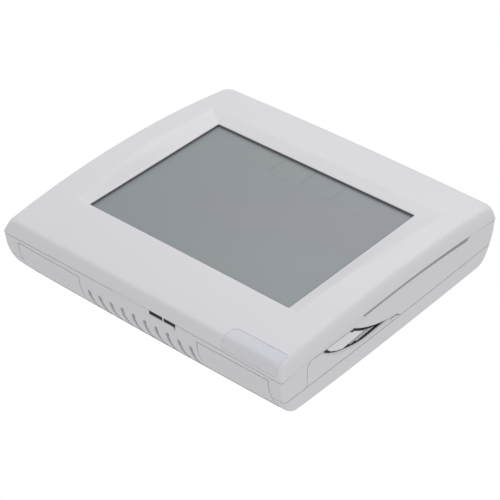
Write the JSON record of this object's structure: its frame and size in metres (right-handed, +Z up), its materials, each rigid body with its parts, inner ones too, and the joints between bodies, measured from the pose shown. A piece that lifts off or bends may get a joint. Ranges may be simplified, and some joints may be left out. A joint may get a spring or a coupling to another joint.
{
  "type": "wall thermostat",
  "caption": "Rectangular touchscreen wall thermostat head on a snap-off wallplate, with release tabs, a side battery drawer, a card slot and vents.",
  "frame": {"origin": "centre of the wallplate's back, in the plane of the wall", "axes": "+Y into the wall, so the display faces -Y; +X to the right of someone facing the display; +Z up"},
  "size_m": [0.1292, 0.0281, 0.119],
  "materials": {
    "shell_white": "satin moulded ABS, off-white",
    "case_white": "satin moulded ABS, off-white",
    "drawer_white": "satin moulded ABS, off-white",
    "plate_white": "satin moulded ABS, off-white",
    "tab_white": "satin moulded ABS, off-white",
    "lens_frosted": "frosted translucent polycarbonate, bluish",
    "led_body": "clear epoxy",
    "touch_film": "clear, faint silver traces",
    "lcd_grey": "grey-green reflective display, unlit",
    "light_guide": "clear acrylic",
    "frame_black": "black",
    "elastomer": "striped conductive rubber",
    "board_green": "glass-fibre board, green solder mask",
    "zinc_steel": "zinc plated",
    "brass": "stamped",
    "nickel_spring": "nickel plated spring steel",
    "relay_black": "black",
    "chip_black": "moulded epoxy",
    "can_aluminium": "plain",
    "sensor_white": "white",
    "block_grey": "grey",
    "jumper_red": "red",
    "cell_wrap": "printed film over a steel can, no marks"
  },
  "bodies": {
    "wallplate": {"wallplate": "plate_white", "terminal_block_left": "block_grey", "terminal_block_right": "block_grey", "terminal_screw_left_1": "zinc_steel", "terminal_screw_left_2": "zinc_steel", "terminal_screw_left_3": "zinc_steel", "terminal_screw_left_4": "zinc_steel", "terminal_screw_left_5": "zinc_steel", "terminal_screw_left_6": "zinc_steel", "terminal_screw_left_7": "zinc_steel", "terminal_screw_right_1": "zinc_steel", "terminal_screw_right_2": "zinc_steel", "terminal_screw_right_3": "zinc_steel", "terminal_screw_right_4": "zinc_steel", "terminal_screw_right_5": "zinc_steel", "terminal_screw_right_6": "zinc_steel", "terminal_screw_right_7": "zinc_steel"},
    "jumper": {"jumper_slider": "jumper_red"},
    "tab_left": {"release_tab_left": "tab_white"},
    "tab_right": {"release_tab_right": "tab_white"},
    "head": {"front_cover": "shell_white", "rear_case": "case_white", "touch_panel": "touch_film", "lcd_glass": "lcd_grey", "light_guide": "light_guide", "lcd_frame": "frame_black", "strip_connector_top": "elastomer", "strip_connector_bottom": "elastomer", "alert_light_window": "lens_frosted", "alert_led": "led_body", "main_board": "board_green", "board_screw_1": "zinc_steel", "board_screw_2": "zinc_steel", "board_screw_3": "zinc_steel", "board_screw_4": "zinc_steel", "case_screw_1": "zinc_steel", "case_screw_2": "zinc_steel", "case_screw_3": "zinc_steel", "case_screw_4": "zinc_steel", "card_socket": "nickel_spring", "relay_1": "relay_black", "relay_2": "relay_black", "relay_3": "relay_black", "capacitor_1": "can_aluminium", "capacitor_2": "can_aluminium", "processor": "chip_black", "radio_module": "can_aluminium", "climate_sensor": "sensor_white", "sounder": "relay_black", "pin_header_left": "relay_black", "pin_header_right": "relay_black", "contact_minus": "nickel_spring", "contact_plus": "nickel_spring"},
    "drawer": {"battery_drawer": "drawer_white", "battery_1": "cell_wrap", "battery_2": "cell_wrap", "battery_bridge": "brass"}
  },
  "joints": [
    {"name": "head_pull", "type": "slide", "parent": "wallplate", "child": "head", "axis": [0, -1, 0], "range_m": [0, 0.014]},
    {"name": "tab_left_press", "type": "hinge", "parent": "wallplate", "child": "tab_left", "pos_m": [-0.0419, -0.005, -0.0557], "axis": [-1, 0, 0], "range_deg": [0, 4.5], "stiffness_Nm_per_rad": 0.6},
    {"name": "tab_right_press", "type": "hinge", "parent": "wallplate", "child": "tab_right", "pos_m": [0.0425, -0.005, -0.0557], "axis": [-1, 0, 0], "range_deg": [0, 4.5], "stiffness_Nm_per_rad": 0.6},
    {"name": "drawer_slide", "type": "slide", "parent": "head", "child": "drawer", "axis": [1, 0, 0], "range_m": [0, 0.046]},
    {"name": "jumper_slide", "type": "slide", "parent": "wallplate", "child": "jumper", "axis": [0, 0, 1], "range_m": [0, 0.007]}
  ]
}
